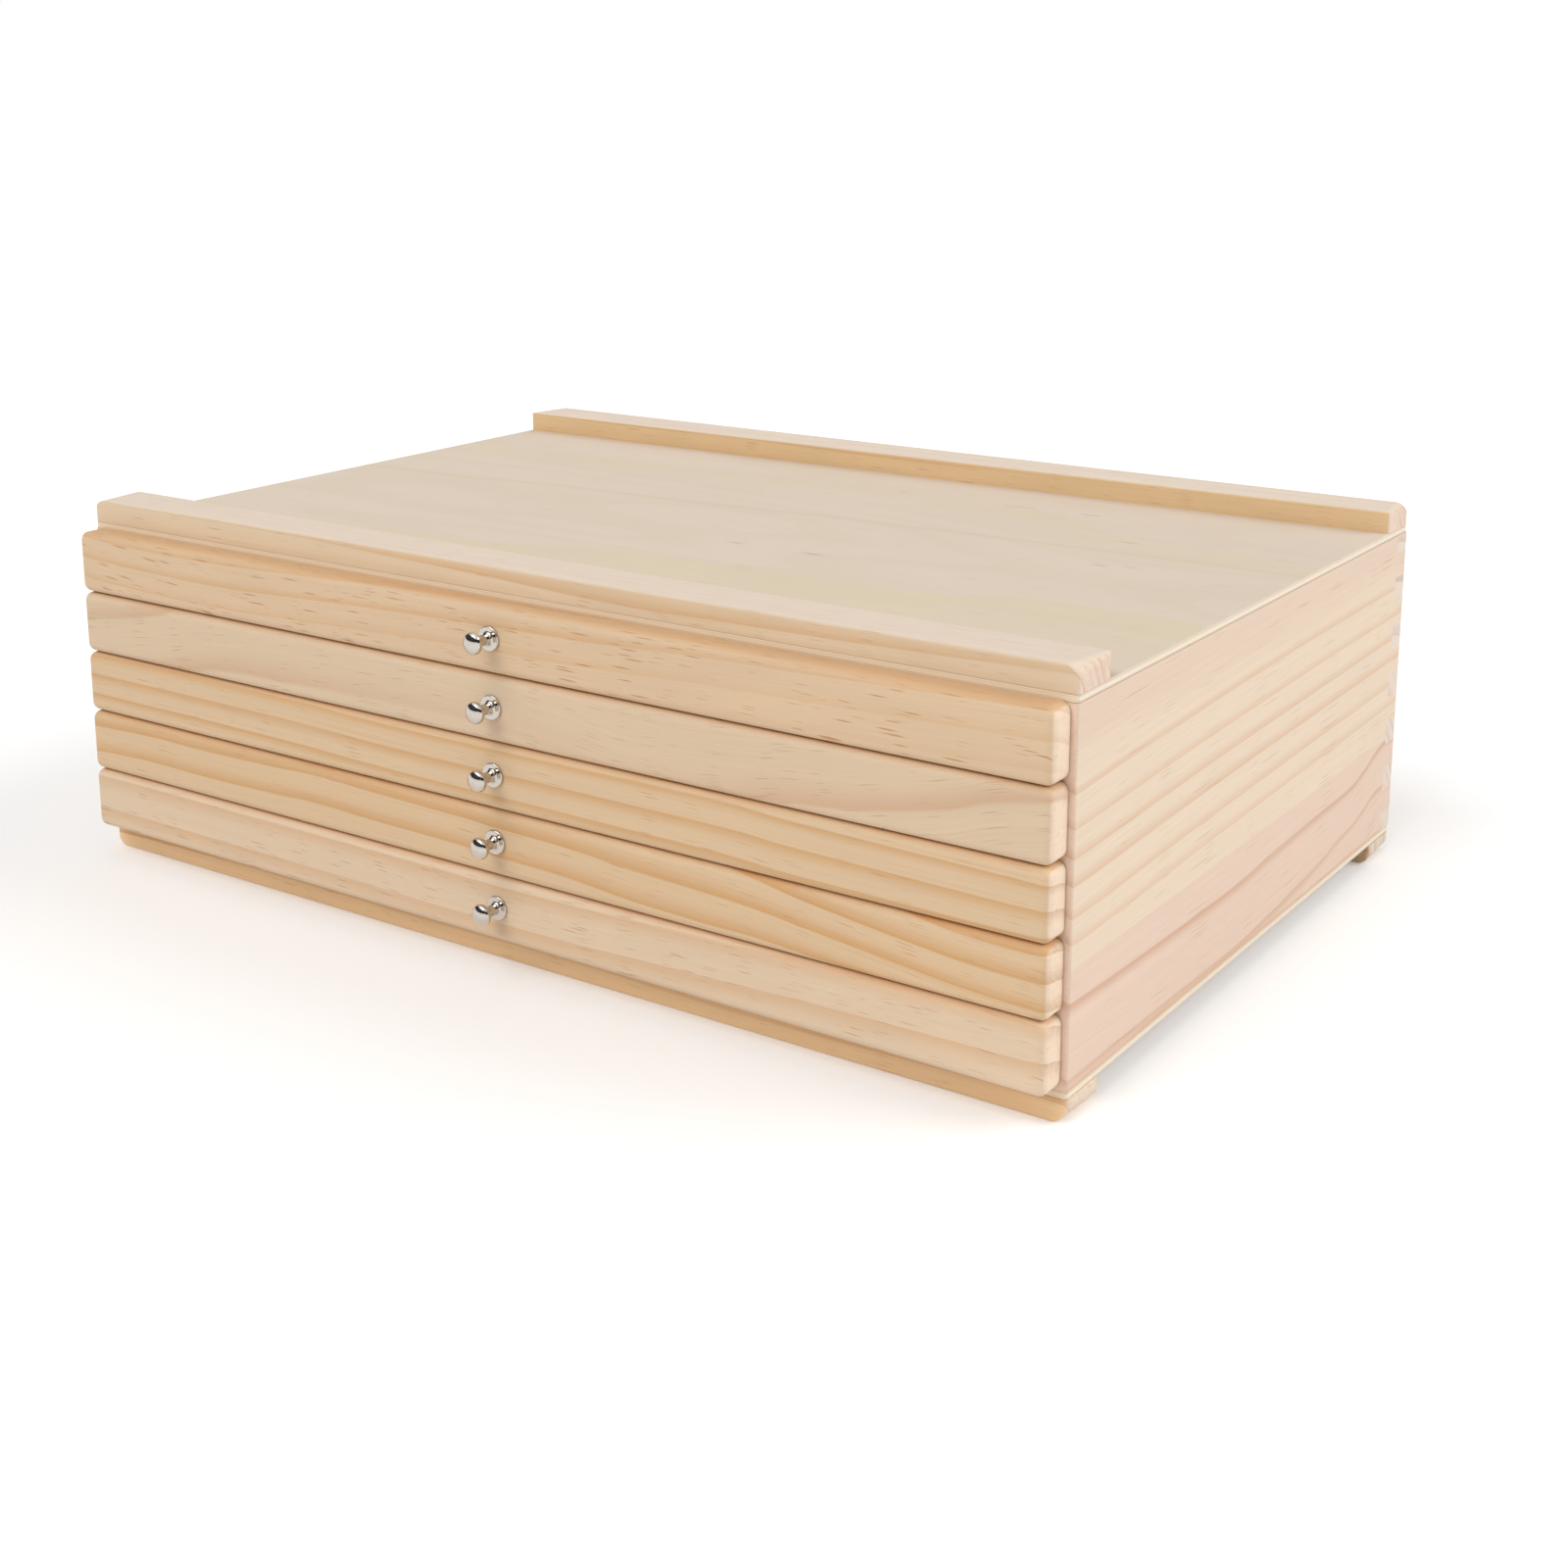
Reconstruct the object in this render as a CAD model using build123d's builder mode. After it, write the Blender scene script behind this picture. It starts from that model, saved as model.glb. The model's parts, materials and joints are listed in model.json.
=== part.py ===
"""Pencil drawer box: a pine case on two foot rails, closed by plywood above and below,
with five shallow drawers that slide on wooden runners and open by small turned knobs.

Millimetres. +Z is up, +X is to the right, and the drawers open towards -Y. The origin is
on the surface the box stands on, in the middle of its width and of its depth over the knobs.
"""
import os
from math import copysign, sqrt

from build123d import *

os.makedirs("parts", exist_ok=True)

# ---------------------------------------------------------------- driving dimensions
# Case
case_width = 400.0          # over the two side boards
case_depth = 264.0          # from the front edges of the sides to the rear face
board = 9.0                 # pine of the sides and the back
panel = 2.5                 # plywood of the top, the bottom and the drawer bottoms
plan_corner = 1.5           # rounding of the case's upright corners
finger_count = 5            # whole fingers of the back board in each rear corner
end_finger_share = 0.75     # its first and last finger, against a whole one
mouth_easing = 0.8          # rounding of the sides' front edges
panel_easing = 0.3          # chamfer round the plywood panels

# Rails across the top and feet across the underside
rail_depth = 20.0
rail_height = 8.0
foot_height = 7.5
rail_easing = 0.8           # rounding of the long edges
rail_outer_round = 5.0      # rounding of a rail's end, at the face of the case
rail_inner_round = 1.2      # and at the rail's inner face
foot_outer_round = 6.0
foot_inner_round = 4.5

# Drawer fronts
drawer_count = 5
front_height = 22.1
front_gap = 0.4             # between one front and the next
front_rise = 0.7            # middle of a front, above the middle of its drawer's space
front_thickness = 9.5
front_setback = 2.0         # each end of a front, in from the side of the case
front_corner = 3.1          # rounding of a front's four corners
front_round = 2.8           # rounding of its outer edges
front_easing = 0.2          # chamfer of its inner edges
closing_gap = 0.3           # between a closed front and the case

# Drawer boxes and the runners that carry them
drawer_board = 6.0          # pine of a drawer's sides and back
drawer_edge_easing = 0.8    # rounding along their top edges
housing = 3.0               # depth to which the sides and the bottom enter the front
side_clearance = 0.8        # between a drawer and the side board next to it
head_clearance = 1.7        # above the drawer's sides, under the next runners
rear_clearance = 4.0        # behind a closed drawer
runner_width = 6.0
runner_height = 4.0
running_clearance = 0.3     # between the runners and the drawer's bottom

# Knob and its screw
knob_flange_radius = 4.1
knob_flange = 1.0           # thickness of the flange
knob_flange_round = 0.4
knob_neck_radius = 1.8
knob_neck_fillet = 1.0      # where the neck runs into the flange
knob_head_radius = 3.6
knob_head_half = 2.2        # from the head's widest place to its tip
knob_head_round = 1.5       # rounding of the head's rim
knob_reach = 10.0           # from the drawer front to the tip
knob_rise = 0.8             # its axis, above the middle of the front
screw_radius = 1.25
screw_hole_radius = 1.4     # clearance hole through the drawer front
screw_grip = 4.5            # length of the screw inside the knob
screw_end_gap = 0.5         # between its tip and the bottom of the tapped hole
screw_head_radius = 2.5
screw_head = 1.6
screw_head_round = 0.7
recess_length = 2.6         # cross recess for the driver
recess_width = 0.6
recess_depth = 0.9

# ---------------------------------------------------------------- places worked out from them
pitch = front_height + front_gap
side_height = drawer_count * pitch
case_low = foot_height + panel                 # underside of the side boards
case_high = case_low + side_height             # underside of the top panel
case_middle = case_low + side_height / 2
top_face = case_high + panel                   # upper face of the top panel
finger = side_height / (2 * finger_count + 1 + 2 * end_finger_share)
end_finger = end_finger_share * finger

overall_depth = knob_reach + front_thickness + closing_gap + case_depth
rear_y = overall_depth / 2
mouth_y = rear_y - case_depth                  # front edges of the side boards
centre_y = rear_y - case_depth / 2             # middle of the case
back_inner_y = rear_y - board
half_width = case_width / 2
half_inside = half_width - board

front_width = case_width - 2 * front_setback
front_inner_y = mouth_y - closing_gap
front_face_y = front_inner_y - front_thickness

half_drawer = half_inside - side_clearance
drawer_width = 2 * half_drawer
drawer_start_y = front_inner_y - housing       # where the sides and the bottom begin
drawer_rear_y = back_inner_y - rear_clearance
drawer_length = drawer_rear_y - drawer_start_y
bottom_rise = runner_height + running_clearance          # above the floor of the drawer's space
wall_rise = bottom_rise + panel
wall_height = pitch - wall_rise - head_clearance
drawer_finger = wall_height / 3
front_middle = pitch / 2 + front_rise          # middle of a front, above the same floor
knob_axis = front_middle + knob_rise


def save(piece, label):
    """Names a finished piece and writes it to its own file."""
    piece.part.label = label
    export_step(piece.part, f"parts/{label}.step")


# ---------------------------------------------------------------- case
def side_board(label, side):
    """A side of the case; its rear end is notched for the fingers of the back."""
    low_x = min(side * half_inside, side * half_width)
    with BuildPart() as piece:
        with BuildSketch(Plane.YZ.offset(low_x)):
            with Locations((centre_y, case_middle)):
                Rectangle(case_depth, side_height)
            with Locations((rear_y - board / 2, case_middle)):
                with GridLocations(0, 2 * finger, 1, finger_count):
                    Rectangle(board, finger, mode=Mode.SUBTRACT)
                with GridLocations(0, side_height - end_finger, 1, 2):
                    Rectangle(board, end_finger, mode=Mode.SUBTRACT)
        extrude(amount=board)
        fillet(piece.edges().filter_by(Axis.Z).group_by(Axis.Y)[0], mouth_easing)
    save(piece, label)


side_board("side_panel_left", -1)
side_board("side_panel_right", 1)

with BuildPart() as back_panel:
    with BuildSketch(Plane.XZ.offset(-rear_y)):
        with Locations((0, case_middle)):
            Rectangle(case_width, side_height)
            with GridLocations(case_width - board, 2 * finger, 2, finger_count + 1):
                Rectangle(board, finger, mode=Mode.SUBTRACT)
    extrude(amount=board)
save(back_panel, "back_panel")


def plywood_cover(label, low_z):
    """A plywood panel over the whole case."""
    with BuildPart() as piece:
        with BuildSketch(Plane.XY.offset(low_z)):
            with Locations((0, centre_y)):
                RectangleRounded(case_width, case_depth, plan_corner)
        extrude(amount=panel)
        chamfer(piece.faces().filter_by(Axis.Z).edges(), panel_easing)
    save(piece, label)


plywood_cover("top_panel", case_high)
plywood_cover("bottom_panel", foot_height)


def end_waste(y, end_x, edge_z, inward_z, radius):
    """At y, what lies outside a quarter round of this radius in the corner at end_x, edge_z."""
    in_x = -copysign(radius, end_x)
    in_z = copysign(radius, inward_z)
    to_arc = 1 - sqrt(0.5)
    with BuildSketch(Plane.XZ.offset(-y)) as waste:
        with BuildLine():
            Polyline((end_x + in_x, edge_z), (end_x, edge_z), (end_x, edge_z + in_z))
            ThreePointArc(
                (end_x, edge_z + in_z),
                (end_x + to_arc * in_x, edge_z + to_arc * in_z),
                (end_x + in_x, edge_z),
            )
        make_face()
    return waste.sketch


def cross_rail(label, outer_y, inner_y, seat_z, free_z, outer_round, inner_round):
    """A full-width rail seated at seat_z. Its ends are rounded at free_z, most at outer_y."""
    with BuildPart() as piece:
        with BuildSketch(Plane.XY.offset(seat_z)):
            with Locations((0, (outer_y + inner_y) / 2)):
                RectangleRounded(case_width, rail_depth, plan_corner)
        extrude(amount=free_z - seat_z)
        free_face = piece.faces().filter_by(Axis.Z).filter_by_position(Axis.Z, free_z, free_z)
        fillet(free_face.edges(), rail_easing)
        for end_x in (-half_width, half_width):
            outer_waste = end_waste(outer_y, end_x, free_z, seat_z - free_z, outer_round)
            inner_waste = end_waste(inner_y, end_x, free_z, seat_z - free_z, inner_round)
            loft([outer_waste, inner_waste], ruled=True, mode=Mode.SUBTRACT)
    save(piece, label)


for position, outer_y, inner_y in (
    ("front", mouth_y, mouth_y + rail_depth),
    ("rear", rear_y, rear_y - rail_depth),
):
    cross_rail(f"top_rail_{position}", outer_y, inner_y, top_face, top_face + rail_height,
               rail_outer_round, rail_inner_round)
    cross_rail(f"foot_rail_{position}", outer_y, inner_y, foot_height, 0,
               foot_outer_round, foot_inner_round)


# ---------------------------------------------------------------- runners
def runner(label, side, slot_z):
    """A strip on the inside of a side board; the drawer's bottom slides on it."""
    with BuildPart() as piece:
        with BuildSketch(Plane.XZ.offset(-back_inner_y)):
            with Locations((side * (half_inside - runner_width / 2), slot_z + runner_height / 2)):
                Rectangle(runner_width, runner_height)
        extrude(amount=back_inner_y - mouth_y)
    save(piece, label)


# ---------------------------------------------------------------- drawers
def drawer_front(label, slot_z):
    """The board that closes a drawer's space, housed for the drawer's sides and bottom."""
    inner_plane = Plane.XZ.offset(-front_inner_y)
    with BuildPart() as piece:
        with BuildSketch(inner_plane):
            with Locations((0, slot_z + front_middle)):
                RectangleRounded(front_width, front_height, front_corner)
        extrude(amount=front_thickness)
        fillet(piece.edges().group_by(Axis.Y)[0], front_round)
        chamfer(piece.edges().group_by(Axis.Y)[-1], front_easing)
        with BuildSketch(inner_plane):
            with Locations((0, slot_z + wall_rise + wall_height / 2)):
                with GridLocations(drawer_width - drawer_board, 0, 2, 1):
                    Rectangle(drawer_board, wall_height)
            with Locations((0, slot_z + bottom_rise + panel / 2)):
                Rectangle(drawer_width, panel)
        extrude(amount=housing, mode=Mode.SUBTRACT)
        with Locations(Plane(origin=(0, front_inner_y, slot_z + knob_axis), z_dir=(0, 1, 0))):
            Hole(screw_hole_radius)
    save(piece, label)


def drawer_side(label, side, slot_z):
    """A drawer's side; a notch at its rear takes the middle finger of the drawer's back."""
    low_x = min(side * (half_drawer - drawer_board), side * half_drawer)
    wall_middle = slot_z + wall_rise + wall_height / 2
    with BuildPart() as piece:
        with BuildSketch(Plane.YZ.offset(low_x)):
            with Locations((drawer_start_y + drawer_length / 2, wall_middle)):
                Rectangle(drawer_length, wall_height)
            with Locations((drawer_rear_y - drawer_board / 2, wall_middle)):
                Rectangle(drawer_board, drawer_finger, mode=Mode.SUBTRACT)
        extrude(amount=drawer_board)
        fillet(piece.edges().filter_by(Axis.Y).group_by(Axis.Z)[-1], drawer_edge_easing)
    save(piece, label)


def drawer_back(label, slot_z):
    """A drawer's back, with one finger at the middle of each end."""
    with BuildPart() as piece:
        with BuildSketch(Plane.XZ.offset(-drawer_rear_y)):
            with Locations((0, slot_z + wall_rise + wall_height / 2)):
                Rectangle(drawer_width, wall_height)
                with GridLocations(drawer_width - drawer_board, 2 * drawer_finger, 2, 2):
                    Rectangle(drawer_board, drawer_finger, mode=Mode.SUBTRACT)
        extrude(amount=drawer_board)
        fillet(piece.edges().filter_by(Axis.X).group_by(Axis.Z)[-1], drawer_edge_easing)
    save(piece, label)


def drawer_bottom(label, slot_z):
    """A drawer's plywood bottom; its side margins ride on the runners."""
    with BuildPart() as piece:
        with BuildSketch(Plane.XY.offset(slot_z + bottom_rise)):
            with Locations((0, drawer_start_y + drawer_length / 2)):
                Rectangle(drawer_width, drawer_length)
        extrude(amount=panel)
    save(piece, label)


# ---------------------------------------------------------------- knobs
def knob(label, axis_z):
    """A turned knob: flange, narrow neck and domed head, tapped from behind."""
    # In this plane x is the radius and y the distance out from the drawer front.
    profile_plane = Plane(origin=(0, front_face_y, axis_z), x_dir=(0, 0, 1), z_dir=(1, 0, 0))
    head_middle = knob_reach - knob_head_half
    bead_radius = knob_head_radius - knob_head_round
    # The head's crown is a circle about the axis that runs on smoothly from its rounded rim.
    crown_radius = (bead_radius**2 + knob_head_half**2 - knob_head_round**2) / (
        2 * (knob_head_half - knob_head_round)
    )
    crown_middle = knob_reach - crown_radius
    to_crown = crown_radius / (crown_radius - knob_head_round)
    crown_edge = (bead_radius * to_crown, crown_middle + (head_middle - crown_middle) * to_crown)
    flange_rim = knob_flange_radius - knob_flange_round
    bore_depth = screw_grip + screw_end_gap
    with BuildPart() as piece:
        with BuildSketch(profile_plane):
            with BuildLine():
                Polyline(
                    (0, knob_reach),
                    (0, bore_depth),
                    (screw_radius, bore_depth),
                    (screw_radius, 0),
                    (knob_flange_radius, 0),
                    (knob_flange_radius, knob_flange - knob_flange_round),
                )
                RadiusArc((knob_flange_radius, knob_flange - knob_flange_round),
                          (flange_rim, knob_flange), -knob_flange_round)
                Line((flange_rim, knob_flange), (knob_neck_radius + knob_neck_fillet, knob_flange))
                RadiusArc((knob_neck_radius + knob_neck_fillet, knob_flange),
                          (knob_neck_radius, knob_flange + knob_neck_fillet), knob_neck_fillet)
                Polyline(
                    (knob_neck_radius, knob_flange + knob_neck_fillet),
                    (knob_neck_radius, head_middle - knob_head_round),
                    (bead_radius, head_middle - knob_head_round),
                )
                rim = ThreePointArc((bead_radius, head_middle - knob_head_round),
                                    (knob_head_radius, head_middle), crown_edge)
                TangentArc(crown_edge, (0, knob_reach), tangent=rim % 1)
            make_face()
        revolve(axis=Axis((0, front_face_y, axis_z), (0, -1, 0)))
    save(piece, label)


def knob_screw(label, axis_z):
    """The screw that holds a knob, put in from inside the drawer."""
    head_plane = Plane(origin=(0, front_inner_y, axis_z), z_dir=(0, 1, 0))
    with BuildPart() as piece:
        with BuildSketch(head_plane):
            Circle(screw_head_radius)
        extrude(amount=screw_head)
        fillet(piece.edges().group_by(Axis.Y)[-1], screw_head_round)
        with BuildSketch(head_plane):
            Circle(screw_radius)
        extrude(amount=-(front_thickness + screw_grip))
        with BuildSketch(head_plane.offset(screw_head)):
            Rectangle(recess_length, recess_width)
            Rectangle(recess_width, recess_length)
        extrude(amount=-recess_depth, mode=Mode.SUBTRACT)
    save(piece, label)


# Drawer 1 is the top one.
for number in range(1, drawer_count + 1):
    slot_z = case_high - number * pitch
    for hand, side in (("left", -1), ("right", 1)):
        runner(f"runner_{hand}_{number}", side, slot_z)
        drawer_side(f"drawer_side_{hand}_{number}", side, slot_z)
    drawer_front(f"drawer_front_{number}", slot_z)
    drawer_back(f"drawer_back_{number}", slot_z)
    drawer_bottom(f"drawer_bottom_{number}", slot_z)
    knob(f"knob_{number}", slot_z + knob_axis)
    knob_screw(f"knob_screw_{number}", slot_z + knob_axis)
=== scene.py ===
"""Looks of the pencil drawer box: wood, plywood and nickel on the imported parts, a pale floor,
soft light and the camera.

Lengths inside the materials are millimetres; everything else is metres.
"""
import json
import math

import bpy
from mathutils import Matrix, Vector

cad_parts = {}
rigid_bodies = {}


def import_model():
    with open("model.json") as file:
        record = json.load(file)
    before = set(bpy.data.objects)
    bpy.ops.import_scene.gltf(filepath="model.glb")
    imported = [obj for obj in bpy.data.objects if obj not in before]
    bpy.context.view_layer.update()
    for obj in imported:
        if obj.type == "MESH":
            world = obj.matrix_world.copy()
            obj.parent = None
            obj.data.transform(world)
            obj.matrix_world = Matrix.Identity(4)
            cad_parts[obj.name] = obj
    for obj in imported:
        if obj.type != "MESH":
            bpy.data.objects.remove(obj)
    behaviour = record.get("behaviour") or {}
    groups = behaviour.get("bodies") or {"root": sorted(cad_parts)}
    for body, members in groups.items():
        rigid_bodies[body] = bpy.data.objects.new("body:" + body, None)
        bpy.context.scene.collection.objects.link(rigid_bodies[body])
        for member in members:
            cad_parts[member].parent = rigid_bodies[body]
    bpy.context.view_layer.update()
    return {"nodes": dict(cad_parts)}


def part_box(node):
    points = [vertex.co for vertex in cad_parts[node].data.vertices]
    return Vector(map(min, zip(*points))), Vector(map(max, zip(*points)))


for leftover in list(bpy.data.objects):
    bpy.data.objects.remove(leftover)

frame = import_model()
nodes = frame["nodes"]
scene = bpy.context.scene
X, Y, Z = 0, 1, 2
MM = 1000.0         # millimetres in a metre


# ------------------------------------------------------------------ writing node trees as formulas
def srgb(red, green, blue):
    """A screen colour, 0 to 255, as the linear RGBA that nodes take."""
    linear = []
    for part in (red, green, blue):
        part /= 255
        linear.append(part / 12.92 if part <= 0.04045 else ((part + 0.055) / 1.055) ** 2.4)
    return (*linear, 1.0)


class Number:
    """A number that varies over a surface. Arithmetic on it adds nodes to its tree."""

    def __init__(self, tree, socket):
        self.tree, self.socket = tree, socket

    def apply(self, operation, *others, clamp=False):
        node = self.tree.nodes.new("ShaderNodeMath")
        node.operation = operation
        node.use_clamp = clamp
        for source, target in zip((self, *others), node.inputs):
            feed(self.tree, source, target)
        return Number(self.tree, node.outputs[0])

    def __add__(self, other):
        return self.apply("ADD", other)

    def __sub__(self, other):
        return self.apply("SUBTRACT", other)

    def __mul__(self, other):
        return self.apply("MULTIPLY", other)

    def __truediv__(self, other):
        return self.apply("DIVIDE", other)

    def power(self, other):
        return self.apply("POWER", other)

    def size(self):
        return self.apply("ABSOLUTE")

    def most(self, other):
        return self.apply("MAXIMUM", other)

    def clamped(self):
        return self.apply("ADD", 0.0, clamp=True)

    def step(self, low, high):
        """0 below low, 1 above high and smooth in between; the other way round if high < low."""
        node = self.tree.nodes.new("ShaderNodeMapRange")
        node.interpolation_type = "SMOOTHSTEP"
        feed(self.tree, self, node.inputs["Value"])
        node.inputs["From Min"].default_value = min(low, high)
        node.inputs["From Max"].default_value = max(low, high)
        node.inputs["To Min"].default_value = 0.0 if low < high else 1.0
        node.inputs["To Max"].default_value = 1.0 if low < high else 0.0
        return Number(self.tree, node.outputs["Result"])


def feed(tree, source, target):
    """Links a number, a socket or a constant to an input socket."""
    if isinstance(source, Number):
        source = source.socket
    if isinstance(source, bpy.types.NodeSocket):
        tree.links.new(source, target)
    else:
        target.default_value = source


def vector(tree, x, y, z):
    node = tree.nodes.new("ShaderNodeCombineXYZ")
    for source, target in zip((x, y, z), node.inputs):
        feed(tree, source, target)
    return node.outputs[0]


def noise(tree, place, detail=2.0, roughness=0.5):
    """Smooth noise from 0 to 1."""
    node = tree.nodes.new("ShaderNodeTexNoise")
    feed(tree, place, node.inputs["Vector"])
    node.inputs["Scale"].default_value = 1.0
    node.inputs["Detail"].default_value = detail
    node.inputs["Roughness"].default_value = roughness
    return Number(tree, node.outputs["Fac"])


DASH_ROOM = 2.6     # room for each dash, against its length and its width


def dashes_along(tree, along, across, seed, length, width, share):
    """Scattered short dashes of that length and width in millimetres, in loose groups.

    share is the part of their places where there is one.
    """
    node = tree.nodes.new("ShaderNodeTexVoronoi")
    node.voronoi_dimensions = "2D"
    feed(tree, vector(tree, along / (DASH_ROOM * length) + seed, across / (DASH_ROOM * width), 0.0),
         node.inputs["Vector"])
    node.inputs["Scale"].default_value = 1.0
    parts = tree.nodes.new("ShaderNodeSeparateColor")
    tree.links.new(node.outputs["Color"], parts.inputs[0])
    pick, size = Number(tree, parts.outputs[0]), Number(tree, parts.outputs[1])
    away = Number(tree, node.outputs["Distance"]) / (size * 0.7 + 0.5)      # no two as large
    group = noise(tree, vector(tree, along / 32 + seed, across / 6, seed * 3))
    return away.step(0.21, 0.07) * pick.step(share, share - 0.05) * group.step(0.4, 0.52)


def ramp(tree, value, low, high, stops):
    """A number through stops of (value, result), with value from low to high."""
    node = tree.nodes.new("ShaderNodeValToRGB")
    feed(tree, (value - low) / (high - low), node.inputs[0])
    elements = node.color_ramp.elements
    places = sorted((min(1.0, max(0.0, (at - low) / (high - low))), result) for at, result in stops)
    while len(elements) < len(places):
        elements.new(0.5)
    for element, (place, result) in zip(elements, places):
        element.position = place
        element.color = (result, result, result, 1.0)
    return Number(tree, node.outputs[0])


def curve(tree, value, points):
    """A smooth curve through points of (value, result), level beyond them."""
    node = tree.nodes.new("ShaderNodeFloatCurve")
    low, high = points[0][0], points[-1][0]
    floor, ceiling = min(p[1] for p in points), max(p[1] for p in points)
    rise = max(ceiling - floor, 1e-6)
    feed(tree, ((value - low) / (high - low)).clamped(), node.inputs["Value"])
    line = node.mapping.curves[0]
    shares = [((at - low) / (high - low), (result - floor) / rise) for at, result in points]
    line.points[0].location, line.points[-1].location = shares[0], shares[-1]
    for share in shares[1:-1]:
        line.points.new(*share)
    node.mapping.update()
    return Number(tree, node.outputs[0]) * rise + floor


def drawn_out(tree, places, seed, length, width, detail, roughness=0.5, depth=None):
    """Noise drawn out along the grain, with features of that length and width in millimetres.

    places are the millimetres along, across and through; depth is their size through the
    board, where it isn't their width.
    """
    along, across, through = places
    place = vector(tree, along / length + seed, across / width, through / (depth or width))
    return noise(tree, place, detail, roughness)


def mixed(first, second, share):
    """A number from first to second as share goes from 0 to 1."""
    return first + (second - first) * share


def blend(tree, share, first, second, kind="MIX"):
    """A colour from first to second as share goes from 0 to 1."""
    node = tree.nodes.new("ShaderNodeMix")
    node.data_type = "RGBA"
    node.blend_type = kind
    factor, *_, first_socket, second_socket = [
        socket for socket in node.inputs if socket.name == "Factor" or socket.type == "RGBA"]
    feed(tree, share, factor)
    feed(tree, first, first_socket)
    feed(tree, second, second_socket)
    return next(socket for socket in node.outputs if socket.type == "RGBA")


def grey(tree, value):
    node = tree.nodes.new("ShaderNodeCombineColor")
    for target in node.inputs:
        feed(tree, value, target)
    return node.outputs[0]


def shaded(tree, colour, value):
    """A colour made darker or lighter by a number about 1."""
    return blend(tree, 1.0, colour, grey(tree, value), "MULTIPLY")


def new_material(name):
    """An empty node material and its shader, already joined to the output."""
    material = bpy.data.materials.new(name)
    material.use_nodes = True
    tree = material.node_tree
    tree.nodes.clear()
    shader = tree.nodes.new("ShaderNodeBsdfPrincipled")
    output = tree.nodes.new("ShaderNodeOutputMaterial")
    tree.links.new(shader.outputs[0], output.inputs[0])
    return material, tree, shader


def board_place(tree, name, grain, across):
    """Millimetres along the grain, across the face and through the board, from its middle."""
    place = tree.nodes.new("ShaderNodeTexCoord").outputs["Object"]
    split = tree.nodes.new("ShaderNodeSeparateXYZ")
    tree.links.new(place, split.inputs[0])
    low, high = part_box(name)
    middle = (low + high) / 2
    through = ({X, Y, Z} - {grain, across}).pop()
    places = [(Number(tree, split.outputs[k]) - middle[k]) * MM
              for k in (grain, across, through)]
    return (*places, (high[through] - low[through]) * MM / 2)


def facing(tree, axis):
    """How squarely the surface faces along an axis of the part, from 0 to 1."""
    normal = tree.nodes.new("ShaderNodeTexCoord").outputs["Normal"]
    split = tree.nodes.new("ShaderNodeSeparateXYZ")
    tree.links.new(normal, split.inputs[0])
    return Number(tree, split.outputs[axis]).size()


def bump(tree, shader, height, depth, strength=1.0):
    """Height, from 0 to 1, as relief of that depth in millimetres."""
    node = tree.nodes.new("ShaderNodeBump")
    node.inputs["Strength"].default_value = strength
    node.inputs["Distance"].default_value = depth / MM
    feed(tree, height, node.inputs["Height"])
    tree.links.new(node.outputs[0], shader.inputs["Normal"])


# ------------------------------------------------------------------ pine
EDGE = 0.045        # share of a ring over which its dark wood ends


def ring_profile(edges):
    """Ramp stops for rings of (place, darkness, fade): dark at its edge and fading upwards, or
    downwards where fade is negative."""
    stops = []
    for at, dark, fade in edges:
        sign = 1 if fade > 0 else -1
        stops += [(at - sign * EDGE, 0.0), (at, dark), (at + 0.35 * fade, 0.62 * dark),
                  (at + 0.7 * fade, 0.2 * dark), (at + fade, 0.0)]
    return stops


def rings(tree, places, seed, *, tilt, side=-1, bow=0.02, wander=0.5, line=None, spacing, edges=None,
          strength=None):
    """Darkness of the late wood, and millimetres across the rings.

    line and spacing run along the board: where ring 0 is on the face, and the rings' distance.
    edges are its rings one by one; without them they repeat unevenly at one spacing. strength
    is how much they show along the board.
    """
    along, height, through, half = places
    face = side * half
    sway = noise(tree, vector(tree, along / 80 + seed, height / 18, through / 18)) - 0.5
    level = (height + (through - face) * math.tan(math.radians(tilt))
             + (through * through - face * face) * bow + sway * (2 * wander))
    if edges is None:
        level = level + (noise(tree, vector(tree, along / 190 + seed, height / 60, seed), 1.0)
                         - 0.5) * (wander * 9)
        place = level / spacing
        uneven = noise(tree, vector(tree, place * 0.4, along / 500 + seed, seed), 1.0)
        place = place + uneven * 1.7
        band = ramp(tree, place.apply("FRACT"), 0.0, 1.0,
                    [(0.0, 0.0), (0.05, 1.0), (0.28, 0.5), (0.6, 0.12), (0.9, 0.0)])
        return band * uneven.step(0.22, 0.7), level
    flow = level - curve(tree, along, line)
    place = flow / curve(tree, along, spacing)
    low, high = edges[0][0] - 1.0, edges[-1][0] + 1.0
    band = ramp(tree, place, low, high, ring_profile(edges))
    if strength is not None:
        band = band * curve(tree, along, strength)
    return band, flow


FEW_DASHES = ((8.0, 0.45, 0.2, 0.5), (7.0, 0.25, 0.25, 0.45))


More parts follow.
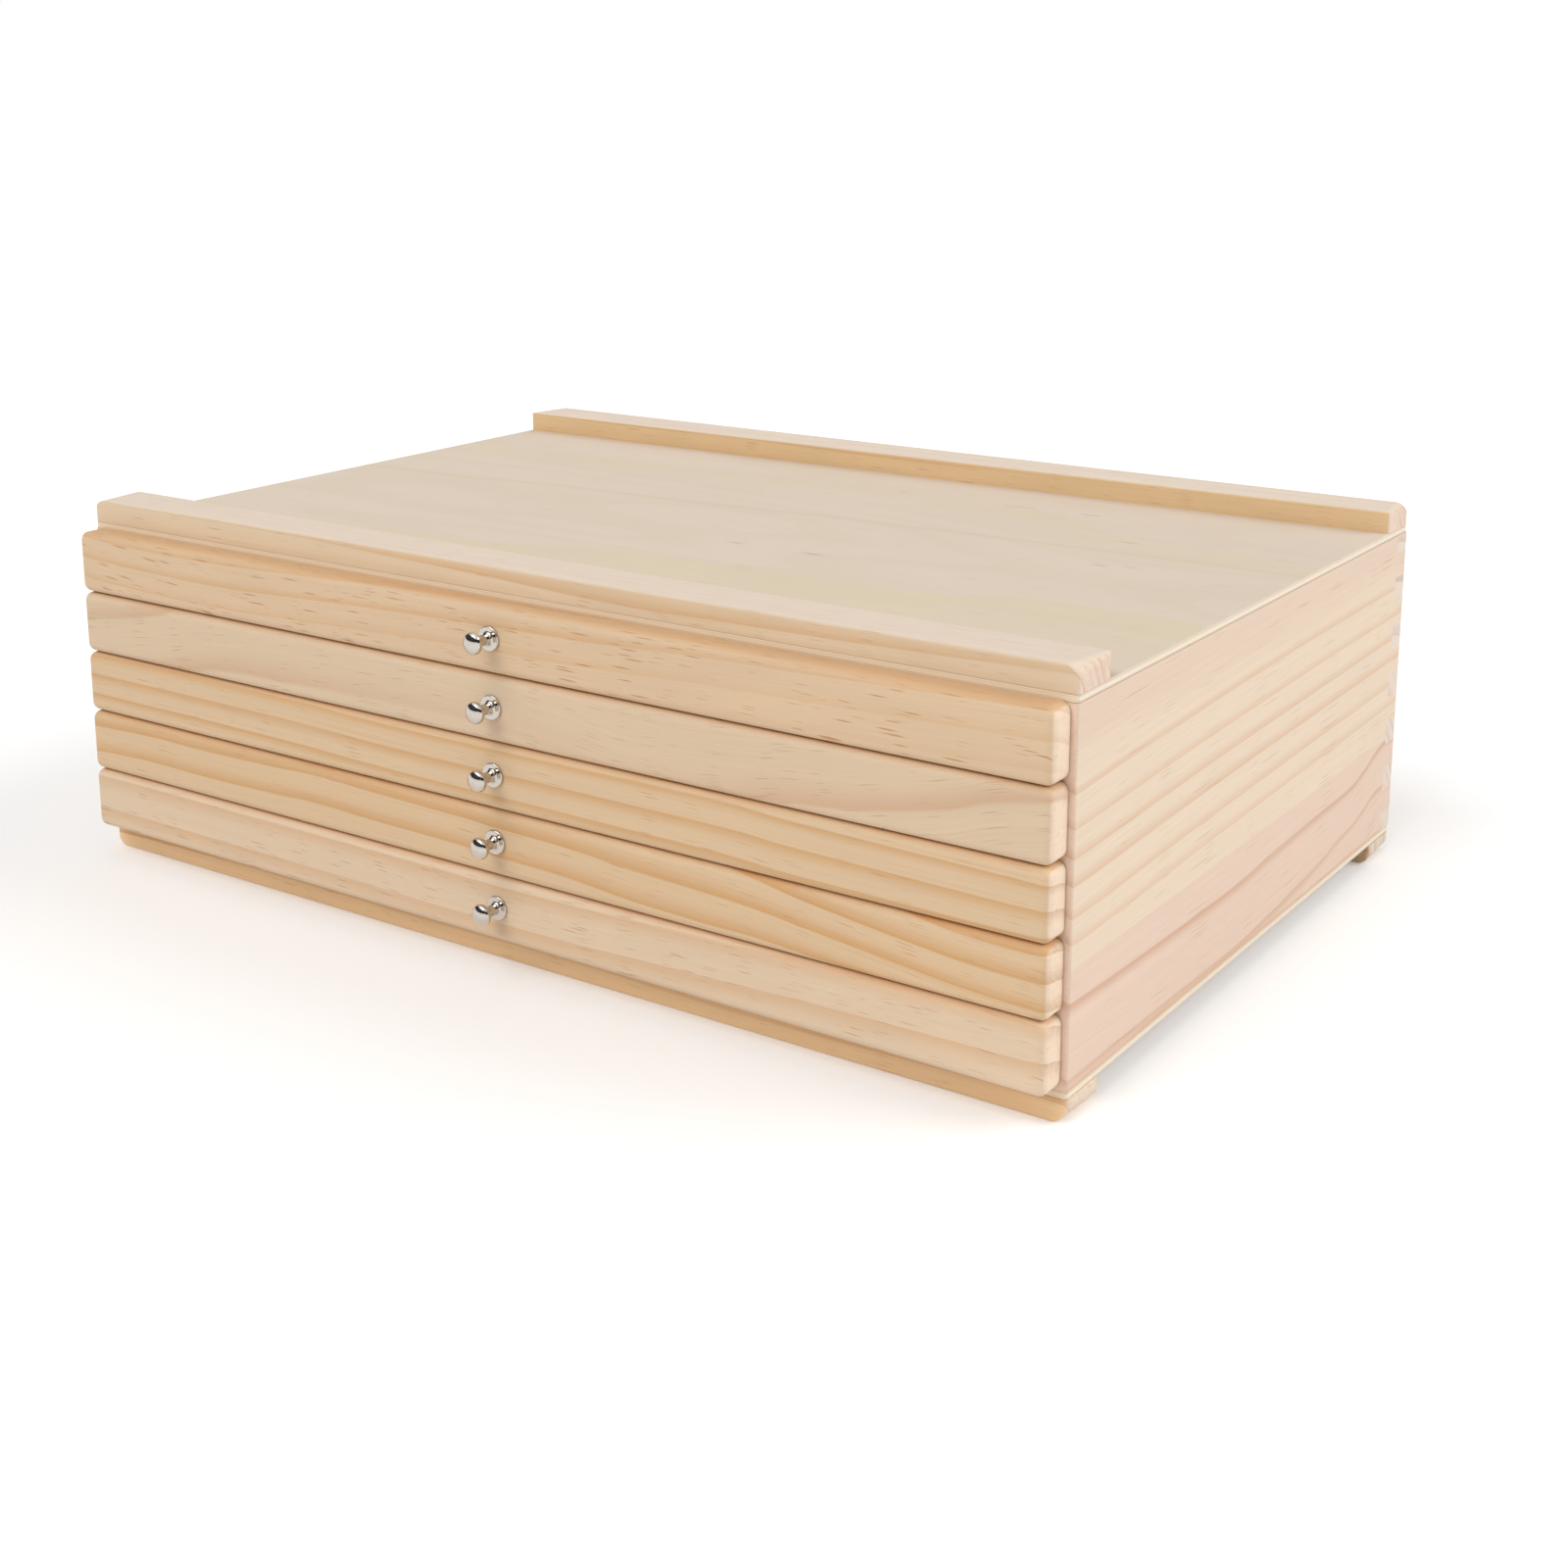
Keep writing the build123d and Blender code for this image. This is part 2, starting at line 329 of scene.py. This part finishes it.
def pine(name, grain, across, *, light, dark, figure, under=None, mottle=0.5, dashes=FEW_DASHES,
         dash_tint=(186, 134, 88), hairs=0.3, slant=0.02, tints=(), painted_lit_face=None, spots=(),
         end=(224, 200, 172), end_dark=(190, 150, 118), seed=0.0):
    """Bare sanded pine for the CAD node of that name.

    light and dark are its early and late wood. figure holds the arguments of rings(). under is
    (level, light, dark, figure) of a board glued on below that level. mottle and hairs are the
    strength of its clouds and of its fine dark lines.
    dashes are (length, width, share of places, darkness) of its resin canals, slant their slope.
    tints are (tint, share, low, high): towards that tint as the height goes from low to high.
    painted_lit_face is (axis, tint, share): painted light, a paler tint on the faces that face
    along an axis, where the light falls on them. spots are (along, height, radius, tint). end and
    end_dark are the early and late wood of its end grain.
    """
    material, tree, shader = new_material(f"pine_{name}")
    places = board_place(tree, name, grain, across)
    along, height, through, half = places
    band, flow = rings(tree, places, seed, **figure)
    light_tint, dark_tint = srgb(*light), srgb(*dark)
    if under is not None:
        seam, under_light, under_dark, under_figure = under
        lower = height.step(seam + 0.1, seam - 0.1)
        under_band, under_flow = rings(tree, places, seed + 3.7, **under_figure)
        band, flow = mixed(band, under_band, lower), mixed(flow, under_flow + 40.0, lower)
        light_tint = blend(tree, lower, light_tint, srgb(*under_light))
        dark_tint = blend(tree, lower, dark_tint, srgb(*under_dark))

    fibre_place = along, flow, through
    streak = drawn_out(tree, fibre_place, seed, 75, 0.8, 3.0, 0.65)
    thread = drawn_out(tree, fibre_place, seed, 11, 0.17, 1.0)
    cloud = drawn_out(tree, fibre_place, seed, 36, 8, 2.0, 0.55)
    hair = drawn_out(tree, fibre_place, -seed, 120, 0.42, 2.0, 0.7, depth=2)

    band = (band * (streak * 2.4 - 0.2).clamped()).clamped()
    colour = blend(tree, band, light_tint, dark_tint)
    fine_line = hair.step(0.56, 0.72) * cloud.step(0.3, 0.6)
    colour = blend(tree, fine_line * hairs, colour, dark_tint)
    # Tints that change with height. On the drawer fronts they are painted shade: a darker orange on
    # each front's top rounding, under the gap.
    for tint, share, low, high in tints:
        edge = (height + (cloud - 0.5) * abs(high - low)).step(low, high)
        colour = blend(tree, edge * share, colour, srgb(*tint))
    # Painted light: a paler tint on the faces that face along the axis, the tops of the rails, as if
    # lit from above.
    if painted_lit_face is not None:
        axis, tint, share = painted_lit_face
        colour = blend(tree, facing(tree, axis).step(0.5, 0.9) * share, colour, srgb(*tint))
    shade = (streak - 0.5) * 0.15 + (thread - 0.5) * 0.08 + (cloud - 0.5) * (0.14 * mottle) + 1.0
    colour = shaded(tree, colour, shade)

    marks = None
    for number, (length, width, share, darkness) in enumerate(dashes):
        mark = dashes_along(tree, along, flow + along * slant + through * 0.8,
                            seed * (3 + number), length, width, share) * darkness
        marks = mark if marks is None else marks.most(mark)
    colour = blend(tree, marks, colour, srgb(*dash_tint))

    for at_along, at_height, radius, tint in spots:
        reach = ((along - at_along).power(2.0) + (height - at_height).power(2.0)).power(0.5)
        reach = reach + (streak - 0.5) * radius
        colour = blend(tree, reach.step(radius, radius * 0.4) * 0.8, colour, srgb(*tint))

    # End grain: the same rings, with pores and rays.
    cut = facing(tree, grain).step(0.6, 0.85)
    pores = noise(tree, vector(tree, height / 0.2, through / 0.2, seed), 2.0)
    rays = noise(tree, vector(tree, height / 1.6, through / 1.6, seed), 2.0)
    end_colour = blend(tree, (band * 0.9 + rays.step(0.5, 0.7) * 0.2).clamped(), srgb(*end),
                       srgb(*end_dark))
    colour = blend(tree, cut, colour, shaded(tree, end_colour, pores * 0.16 + 0.9))
    tree.links.new(colour, shader.inputs["Base Color"])
    feed(tree, streak * 0.12 + band * -0.06 + 0.56, shader.inputs["Roughness"])
    bump(tree, shader, thread * 0.5 + streak * 0.6 - marks * 0.5, 0.05, 0.5)
    nodes[name].material_slots[0].material = material


FRONT_END = dict(end=(240, 216, 190), end_dark=(208, 172, 140))

pine("drawer_front_1", X, Z, light=(222, 192, 157), dark=(211, 163, 112),
     figure=dict(tilt=20, wander=0.6,
                 line=[(-200, 2.9), (-165, 1.1), (-130, 0.7), (-90, 1.9), (-45, 3.6), (0, 4.9),
                       (45, 5.9), (85, 7.7), (125, 8.7), (165, 9.9), (200, 10.9)],
                 spacing=[(-200, 7.5), (0, 8.0), (200, 8.5)],
                 edges=[(-2, 0.35, 0.3), (-1, 0.5, 0.4), (0, 0.8, 0.4), (1, 0.7, 0.4)],
                 strength=[(-200, 0.9), (-60, 0.8), (20, 0.9), (90, 0.55), (200, 0.9)]),
     mottle=1.0, dashes=((9.0, 0.6, 0.6, 0.85), (6.5, 0.35, 0.4, 0.6)),
     dash_tint=(192, 137, 88), slant=0.045,
     # painted shade: a darker orange tint on the top rounding, under the gap above
     tints=[((210, 160, 108), 0.5, 9.6, 11.2)], seed=1.3, **FRONT_END)

pine("drawer_front_2", X, Z, light=(222, 196, 165), dark=(208, 169, 134),
     figure=dict(tilt=12,
                 line=[(-200, -15.7), (-155, -11.2), (-140, -9), (-120, -6.5), (-89, -5.4),
                       (-56, -4.5), (-22, -4.3), (0, -5.3), (14, -6.9), (33, -9.2), (60, -11.7),
                       (90, -10.7), (111, -8.3), (133, -6.3), (144, -4.6), (156, -2.2),
                       (167, 0.3), (178, 4), (189, 6.5), (200, 8.6)],
                 spacing=[(-200, 16.5), (-155, 20), (-120, 27), (200, 27)],
                 edges=[(0, 0.9, 0.32), (1, 0.8, 0.4)],
                 strength=[(-200, 1), (-100, 0.8), (-30, 0.4), (30, 0.35), (85, 0.5), (120, 0.9),
                           (200, 0.9)]),
     mottle=0.5, dashes=((7.0, 0.35, 0.3, 0.5), (9.0, 0.25, 0.3, 0.55)),
     dash_tint=(172, 134, 100), slant=-0.05,
     # painted shade: a darker orange tint on the top rounding, under the gap above
     tints=[((210, 162, 112), 0.45, 9.4, 11.2)], seed=4.1, **FRONT_END)

pine("drawer_front_3", X, Z, light=(222, 192, 155), dark=(209, 160, 104),
     figure=dict(tilt=10, wander=0.3,
                 line=[(-200, 3.2), (-160, 3.2), (-100, 2.8), (-33, 1.7), (0, 1.6), (44, 1.6),
                       (89, 1.3), (111, 0.25), (144, -0.4), (200, -1.2)],
                 spacing=[(-200, 7.4), (0, 7.9), (100, 8.3), (200, 7.4)],
                 edges=[(-2, 0.7, -0.4), (-1, 0.9, -0.44), (0, 0.85, -0.5), (0.95, 0.85, -0.36),
                        (2, 0.8, -0.4)]),
     mottle=0.4, hairs=0.5, slant=0.01,
     # painted shade: a darker orange tint on the top rounding, under the gap above
     tints=[((212, 158, 104), 0.45, 9.4, 11.2)], seed=7.7, **FRONT_END)

pine("drawer_front_4", X, Z, light=(223, 192, 154), dark=(209, 157, 98),
     figure=dict(tilt=8, wander=0.2,
                 line=[(-200, 5.6), (-185, 6.1), (-160, 6.8), (-144, 6.6), (-100, 7.3),
                       (-84, 7.9), (-55, 7.2), (-10, 6.2), (0, 5.7), (28, 5.1), (56, 3.2),
                       (78, 2.3), (100, 1.1), (117, -0.7), (133, -2.4), (156, -4.9),
                       (178, -6.9), (200, -7.8)],
                 spacing=[(-200, 10.5), (-180, 9.5), (-100, 9.9), (0, 9.8), (56, 10.1),
                          (100, 9), (130, 8), (156, 7.8), (200, 8.7)],
                 edges=[(-1, 0.85, 0.55), (0, 0.9, 0.6), (1, 0.95, 0.65), (2, 0.9, 0.6)]),
     mottle=0.4, hairs=0.5, slant=0.01,
     # painted shade: a darker orange tint on the top rounding, under the gap above
     tints=[((208, 154, 102), 0.4, 9.4, 11.2)], seed=11.9, **FRONT_END)

pine("drawer_front_5", X, Z, light=(229, 203, 173), dark=(217, 175, 132),
     figure=dict(tilt=14,
                 line=[(-200, -3.5), (-100, -3.9), (0, -4.6), (18, -4.5), (60, -3.3),
                       (100, -2.3), (120, -1.7), (200, -0.6)],
                 spacing=[(-200, 12), (0, 12.5), (200, 10.6)],
                 edges=[(0, 0.75, -0.5), (1, 0.75, -0.45)]),
     mottle=0.6, dashes=((8.0, 0.45, 0.4, 0.6), (6.0, 0.25, 0.35, 0.5)),
     dash_tint=(186, 138, 98), slant=0.02,
     # painted shade: a darker orange tint on the top rounding, under the gap above
     tints=[((212, 162, 112), 0.5, 9.4, 11.2)], seed=15.2, **FRONT_END)

SIDE_END = dict(end=(238, 210, 188), end_dark=(212, 172, 146))
SIDE_DASHES = ((20.0, 0.3, 0.16, 0.7), (13.0, 0.22, 0.18, 0.6))

pine("side_panel_right", Y, Z, light=(229, 208, 184), dark=(216, 180, 148),
     figure=dict(tilt=12, side=1, wander=0.25,
                 line=[(-131, 30.95), (-1, 35.05), (121, 36.45)],
                 spacing=[(-131, 8.74), (-1, 9.06), (121, 8.88)],
                 edges=[(-5, 0.65, 0.4), (-4.12, 0.7, 0.45), (-3.05, 0.85, 0.45),
                        (-2.15, 0.8, 0.4), (-1.17, 0.7, 0.36), (0, 0.8, 0.32)]),
     under=(-20.25, (226, 200, 180), (206, 162, 133),
            dict(tilt=15, side=1, wander=0.3,
                 line=[(-131, -30.45), (-67, -32.45), (-17, -32.95), (16, -31.55),
                       (58, -30.45), (83, -29.95), (99, -27.45), (113, -23.25),
                       (121, -21.55)],
                 spacing=[(-131, 22.8), (-67, 21.3), (8, 21.5), (33, 20.5), (66, 18),
                          (91, 15.5), (121, 17)],
                 edges=[(-1, 0.7, -0.16), (0, 0.95, -0.17)])),
     mottle=0.4, dashes=SIDE_DASHES,
     dash_tint=(176, 148, 122), hairs=0.35, slant=0.01,
     tints=[((223, 197, 176), 0.7, 36, 50), ((212, 164, 120), 0.6, -54.6, -56.2)],
     spots=[(107.8, 22.05, 2.0, (225, 200, 150)), (-61.2, 9.55, 1.0, (225, 200, 150))],
     seed=84.3, **SIDE_END)

pine("side_panel_left", Y, Z, light=(236, 214, 188), dark=(220, 188, 152),
     figure=dict(tilt=14, wander=0.8, spacing=8.6),
     under=(-6.0, (232, 206, 184), (212, 174, 144), dict(tilt=60, wander=1.4, spacing=11.0)),
     mottle=0.4, dashes=SIDE_DASHES,
     dash_tint=(172, 146, 120), seed=80.1, **SIDE_END)

pine("back_panel", X, Z, light=(230, 206, 174), dark=(212, 174, 132),
     figure=dict(tilt=10, side=1, wander=1.6, spacing=13.0),
     under=(9.0, (228, 201, 172), (208, 168, 126), dict(tilt=50, side=1, wander=0.7, spacing=7.5)),
     mottle=0.6, end=(230, 213, 198), end_dark=(196, 176, 162), seed=90.4)

RAIL_END = dict(end=(232, 208, 188), end_dark=(198, 150, 124))

pine("top_rail_front", X, Z, light=(228, 204, 172), dark=(214, 173, 128),
     figure=dict(tilt=66, wander=0.9, spacing=9.0), mottle=0.8, hairs=0.5,
     # painted light: the rail's top face is painted paler, as if lit from above
     painted_lit_face=(Z, (225, 209, 194), 0.8), seed=101.2, **RAIL_END)
pine("top_rail_rear", X, Z, light=(228, 195, 150), dark=(196, 144, 86),
     figure=dict(tilt=60, wander=0.9, spacing=8.0), mottle=1.2,
     # painted light: the rail's top face is painted paler, as if lit from above
     painted_lit_face=(Z, (227, 212, 197), 0.85), seed=103.6, **RAIL_END)
pine("foot_rail_front", X, Z, light=(246, 207, 159), dark=(204, 144, 88),
     figure=dict(tilt=60, wander=0.9, spacing=9.0), mottle=0.9, seed=105.1,
     end=(232, 212, 190), end_dark=(190, 158, 130))
pine("foot_rail_rear", X, Z, light=(218, 186, 148), dark=(196, 150, 104),
     figure=dict(tilt=66, wander=0.6, spacing=11.0), mottle=0.7, seed=107.9,
     end=(226, 208, 190), end_dark=(192, 166, 144))

for number in range(1, 6):
    for hand, seed in (("left", 20.3), ("right", 31.7)):
        pine(f"drawer_side_{hand}_{number}", Y, Z, light=(228, 203, 170), dark=(210, 170, 124),
             figure=dict(tilt=55, wander=0.6, spacing=7.0), seed=seed + 1.9 * number)
        pine(f"runner_{hand}_{number}", Y, Z, light=(226, 200, 166), dark=(208, 168, 122),
             figure=dict(tilt=50, wander=0.3, spacing=4.0), seed=seed + 20 + 1.3 * number)
    pine(f"drawer_back_{number}", X, Z, light=(228, 203, 170), dark=(210, 170, 124),
         figure=dict(tilt=35, wander=0.7, spacing=6.0), seed=60.2 + 1.7 * number)


# ------------------------------------------------------------------ plywood
VENEER = 0.6        # thickness of a panel's outer plies
GLUE = 0.12         # half the height of a glue line
PLY_DASH = srgb(184, 154, 126)


def plywood(name, *, face, figure=(), clusters=(), seed=0.0):
    """Three-ply for the CAD node of that name, with the face grain along X.

    figure lists contours on its faces: (tint, share, fade, line), with the tint in front of
    the line and fading over that many millimetres. clusters are (x, y, half length, half width)
    of groups of dark dashes.
    """
    material, tree, shader = new_material(f"plywood_{name}")
    along, across, through, half = board_place(tree, name, X, Y)
    sway = noise(tree, vector(tree, along / 90 + seed, across / 30, seed)) - 0.5
    drift = noise(tree, vector(tree, along / 320 + seed, across / 70, seed), 1.0, 0.4)
    flow = across + drift * 60
    fibre_place = along, flow, through
    streak = drawn_out(tree, fibre_place, seed, 70, 1.1, 3.0, 0.6, depth=0.6)
    thread = drawn_out(tree, fibre_place, seed, 12, 0.2, 1.0)
    cloud = noise(tree, vector(tree, along / 60 + seed, flow / 16, seed), 2.0, 0.5)
    contour = (drift * 9.0 + across / 75).apply("FRACT")
    band = contour.step(0.0, 0.05) * contour.step(0.6, 0.05)
    pale = srgb(*face)
    late = srgb(face[0] - 8, face[1] - 9, face[2] - 20)
    colour = blend(tree, band * streak * 0.35, pale, late)
    for tint, share, fade, line in figure:
        ahead = curve(tree, along, line) + sway * 5 - across
        patch = ahead.step(-0.8, 0.8) * ahead.step(fade, 0.0)
        colour = blend(tree, patch * share, colour, srgb(*tint))
    shade = (streak - 0.5) * 0.07 + (thread - 0.5) * 0.06 + (cloud - 0.5) * 0.05 + 1.0
    colour = shaded(tree, colour, shade)
    marks = dashes_along(tree, along, flow, seed, 9.0, 0.5, 0.15) * 0.6
    for number, (at_x, at_y, reach_x, reach_y) in enumerate(clusters):
        away = ((along - at_x) / reach_x).power(2.0) + ((across - at_y) / reach_y).power(2.0)
        close = dashes_along(tree, along, across + along * 0.02, seed * 2 + number, 13.0, 2.2, 0.7)
        marks = marks.most(close * away.step(1.0, 0.3))
    colour = blend(tree, marks * 0.7, colour, PLY_DASH)

    # The edges: pale outer plies round a core whose grain runs along Y.
    core = through.size().step(half - VENEER + 0.04, half - VENEER - 0.04)
    glue = (through.size() - (half - VENEER)).size().step(GLUE, GLUE / 3)
    fuzz = noise(tree, vector(tree, along / 0.3, across / 0.3, through / 0.12), 2.0)
    front_edge = blend(tree, core, srgb(248, 228, 196), srgb(238, 217, 186))
    side_edge = blend(tree, core, srgb(226, 209, 184), srgb(235, 222, 203))
    edge = blend(tree, facing(tree, X).step(0.4, 0.8), front_edge, side_edge)
    edge = blend(tree, glue * 0.4, shaded(tree, edge, fuzz * 0.2 + 0.92), srgb(176, 136, 92))
    colour = blend(tree, facing(tree, Z).step(0.6, 0.35), colour, edge)
    tree.links.new(colour, shader.inputs["Base Color"])
    feed(tree, streak * 0.1 + 0.56, shader.inputs["Roughness"])
    bump(tree, shader, thread * 0.6 + streak * 0.4, 0.04, 0.5)
    nodes[name].material_slots[0].material = material


OLIVE = (216, 201, 173)
plywood("top_panel", face=(218, 202, 184), seed=3.3,
        clusters=[(131, 8, 24, 9), (33, -31, 24, 6), (81, 82, 26, 6), (158, 48, 38, 6),
                  (-138, -33, 18, 4), (175, -12, 18, 7)],
        figure=[(OLIVE, 0.8, 70, [(-200, -84), (-130, -83), (-50, -77), (-25, -63), (50, -61),
                                  (100, -59), (137, -46), (187, -44), (200, -51)]),
                ((208, 188, 158), 0.5, 7, [(-200, 8), (-185, 9), (-142, 12), (-112, 17),
                                           (-25, 22), (25, 27), (200, 34)]),
                (OLIVE, 0.5, 34, [(-200, 70), (-60, 78), (60, 84), (130, 52), (200, 48)])])
plywood("bottom_panel", face=(225, 209, 191), seed=5.9)
for number in range(1, 6):
    plywood(f"drawer_bottom_{number}", face=(224, 207, 184), seed=7.1 + 1.3 * number)


# ------------------------------------------------------------------ metal
def metal(name, tint, gloss, node_names):
    """Polished or plated metal of that tint; gloss is its roughness."""
    material, tree, shader = new_material(name)
    place = tree.nodes.new("ShaderNodeTexCoord").outputs["Object"]
    # Faint smudges, one and a half millimetres across.
    scale = tree.nodes.new("ShaderNodeVectorMath")
    scale.operation = "SCALE"
    tree.links.new(place, scale.inputs[0])
    scale.inputs["Scale"].default_value = 700.0
    smudge = noise(tree, scale.outputs[0], 3.0)
    tree.links.new(blend(tree, smudge, srgb(*tint), srgb(*(c - 8 for c in tint))),
                   shader.inputs["Base Color"])
    shader.inputs["Metallic"].default_value = 1.0
    feed(tree, smudge * 0.05 + gloss, shader.inputs["Roughness"])
    for node_name in node_names:
        nodes[node_name].material_slots[0].material = material


metal("nickel", (208, 201, 192), 0.05, [f"knob_{n}" for n in range(1, 6)])
metal("zinc_steel", (214, 214, 212), 0.3, [f"knob_screw_{n}" for n in range(1, 6)])

# ------------------------------------------------------------------ floor, light and camera
FLOOR_SIZE = 40
FLOOR_MATTE = 0.85          # how pale the floor is to the light that falls on the box
FLOOR_SHOWN = 0.93          # and as it is seen
FLOOR_GLOW = 0.14           # brings what is seen of it up to the white of the background
ROOM_LIGHT = 0.5
BACKGROUND = 1.0


def seen_plainly(tree):
    """1 for what the camera sees directly, in a reflection or through something, else 0."""
    path = tree.nodes.new("ShaderNodeLightPath")
    camera_ray, glossy_ray, through_ray = (
        Number(tree, path.outputs[f"Is {kind} Ray"]) for kind in ("Camera", "Glossy", "Transmission"))
    return camera_ray.most(glossy_ray).most(through_ray).socket


def two_ways(tree, output, lighting, seen):
    """Joins one shader to the output as it lights the box, and another as it is seen."""
    switch = tree.nodes.new("ShaderNodeMixShader")
    tree.links.new(seen_plainly(tree), switch.inputs[0])
    tree.links.new(lighting.outputs[0], switch.inputs[1])
    tree.links.new(seen.outputs[0], switch.inputs[2])
    tree.links.new(switch.outputs[0], output.inputs[0])


def grey_shader(tree, kind, tone=1.0):
    """A shader node of that kind in a plain grey."""
    node = tree.nodes.new(kind)
    node.inputs["Color"].default_value = (tone, tone, tone, 1)
    return node


bpy.ops.mesh.primitive_plane_add(size=FLOOR_SIZE, location=(0, 0, 0))
floor = bpy.context.object
floor.name = "floor"
material = bpy.data.materials.new("floor_white")
material.use_nodes = True
tree = material.node_tree
tree.nodes.clear()
output = tree.nodes.new("ShaderNodeOutputMaterial")
glow = grey_shader(tree, "ShaderNodeEmission")
glow.inputs["Strength"].default_value = FLOOR_GLOW
both = tree.nodes.new("ShaderNodeAddShader")
tree.links.new(grey_shader(tree, "ShaderNodeBsdfDiffuse", FLOOR_SHOWN).outputs[0], both.inputs[0])
tree.links.new(glow.outputs[0], both.inputs[1])
two_ways(tree, output, grey_shader(tree, "ShaderNodeBsdfDiffuse", FLOOR_MATTE), both)
floor.data.materials.append(material)

world = bpy.data.worlds.new("studio")
scene.world = world
world.use_nodes = True
tree = world.node_tree
tree.nodes.clear()
output = tree.nodes.new("ShaderNodeOutputWorld")
room, white = (grey_shader(tree, "ShaderNodeBackground") for _ in range(2))
room.inputs["Strength"].default_value = ROOM_LIGHT
white.inputs["Strength"].default_value = BACKGROUND
two_ways(tree, output, room, white)

# Dark cards stand round the box, out of the picture, for the metal to reflect.
CARD_DISTANCE, CARD_LOW, CARD_HIGH = 3.0, 0.6, 2.5
bpy.ops.mesh.primitive_cylinder_add(vertices=96, radius=CARD_DISTANCE, depth=CARD_HIGH - CARD_LOW,
                                    end_fill_type="NOTHING",
                                    location=(0, 0, (CARD_LOW + CARD_HIGH) / 2))
cards = bpy.context.object
cards.name = "dark_cards"
cards.visible_camera = cards.visible_diffuse = cards.visible_shadow = False
cards.visible_transmission = cards.visible_volume_scatter = False
material, tree, shader = new_material("card_black")
shader.inputs["Base Color"].default_value = (0.03, 0.03, 0.03, 1)      # almost black
shader.inputs["Roughness"].default_value = 0.9
cards.data.materials.append(material)


def soft_sun(name, towards, strength, angle):
    """A lamp without falloff, that many degrees wide; towards points from the box to the lamp."""
    lamp = bpy.data.lights.new(name, "SUN")
    lamp.energy = strength
    lamp.angle = math.radians(angle)
    carrier = bpy.data.objects.new(name, lamp)
    carrier.rotation_euler = Vector(towards).to_track_quat("Z", "Y").to_euler()
    scene.collection.objects.link(carrier)


soft_sun("front_light", (-0.16, -0.63, 0.75), 1.3, 40)
soft_sun("side_light", (0.70, 0.45, 0.50), 1.55, 44)

# The camera of the photograph, fitted to the box's outlines; angles in degrees.
CAMERA_PLACE = (0.448, -0.627, 0.290)
CAMERA_YAW, CAMERA_PITCH = 34.18, 12.65     # to the left of +Y, and down
camera = bpy.data.cameras.new("camera")
camera.lens = 50.0
camera.sensor_width = 36.0
camera.shift_y = -0.15
camera.clip_start, camera.clip_end = 0.01, 60
holder = bpy.data.objects.new("camera", camera)
holder.location = CAMERA_PLACE
yaw, pitch = math.radians(CAMERA_YAW), math.radians(CAMERA_PITCH)
view = Vector((-math.sin(yaw) * math.cos(pitch), math.cos(yaw) * math.cos(pitch), -math.sin(pitch)))
holder.rotation_euler = view.to_track_quat("-Z", "Y").to_euler()
scene.collection.objects.link(holder)
scene.camera = holder

scene.view_settings.view_transform = "Standard"
